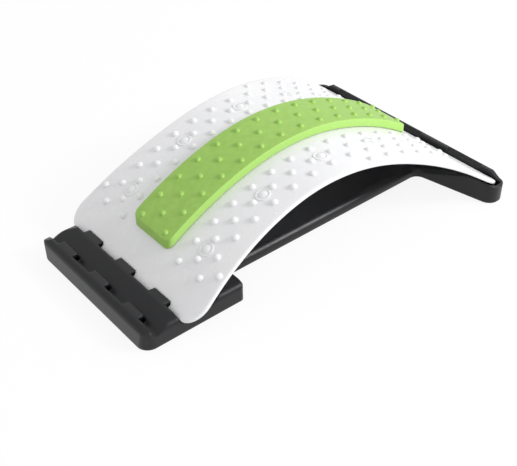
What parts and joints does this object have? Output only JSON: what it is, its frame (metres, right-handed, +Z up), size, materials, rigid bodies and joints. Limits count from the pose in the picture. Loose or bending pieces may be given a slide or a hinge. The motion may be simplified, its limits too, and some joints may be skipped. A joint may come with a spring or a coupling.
{
  "type": "arched back stretcher",
  "caption": "Arched back stretcher: a nubbed white plate bowed over a black base with level grooves, and a green foam strip along the spine.",
  "frame": {"origin": "on the table under the middle of the base", "axes": "+X along the length from the stepped end to the wide bar, +Y across the width, +Z up"},
  "size_m": [0.386, 0.26, 0.0965],
  "materials": {
    "base_black": "satin moulded",
    "plate_white": "semi gloss moulded",
    "strip_green": "matt foam",
    "tape_clear": "matt adhesive sheet",
    "pad_rubber": "matt",
    "magnet_nickel": "nickel plated",
    "cap_white": "moulded"
  },
  "bodies": {
    "base": {"base_frame": "base_black", "foot_pad_near_left": "pad_rubber", "foot_pad_near_right": "pad_rubber", "foot_pad_far_left": "pad_rubber", "foot_pad_far_right": "pad_rubber"},
    "arch": {"arch_plate": "plate_white", "spine_tape": "tape_clear", "spine_strip": "strip_green", "magnet_left_1": "magnet_nickel", "magnet_left_2": "magnet_nickel", "magnet_left_3": "magnet_nickel", "magnet_left_4": "magnet_nickel", "magnet_left_5": "magnet_nickel", "magnet_right_1": "magnet_nickel", "magnet_right_2": "magnet_nickel", "magnet_right_3": "magnet_nickel", "magnet_right_4": "magnet_nickel", "magnet_right_5": "magnet_nickel", "magnet_cap_left_1": "cap_white", "magnet_cap_left_2": "cap_white", "magnet_cap_left_3": "cap_white", "magnet_cap_left_4": "cap_white", "magnet_cap_left_5": "cap_white", "magnet_cap_right_1": "cap_white", "magnet_cap_right_2": "cap_white", "magnet_cap_right_3": "cap_white", "magnet_cap_right_4": "cap_white", "magnet_cap_right_5": "cap_white"}
  },
  "joints": [
    {"name": "arch_swing", "type": "hinge", "parent": "base", "child": "arch", "pos_m": [0.1867, 0, 0.0148], "axis": [0, 1, 0], "range_deg": [0, 55]}
  ]
}
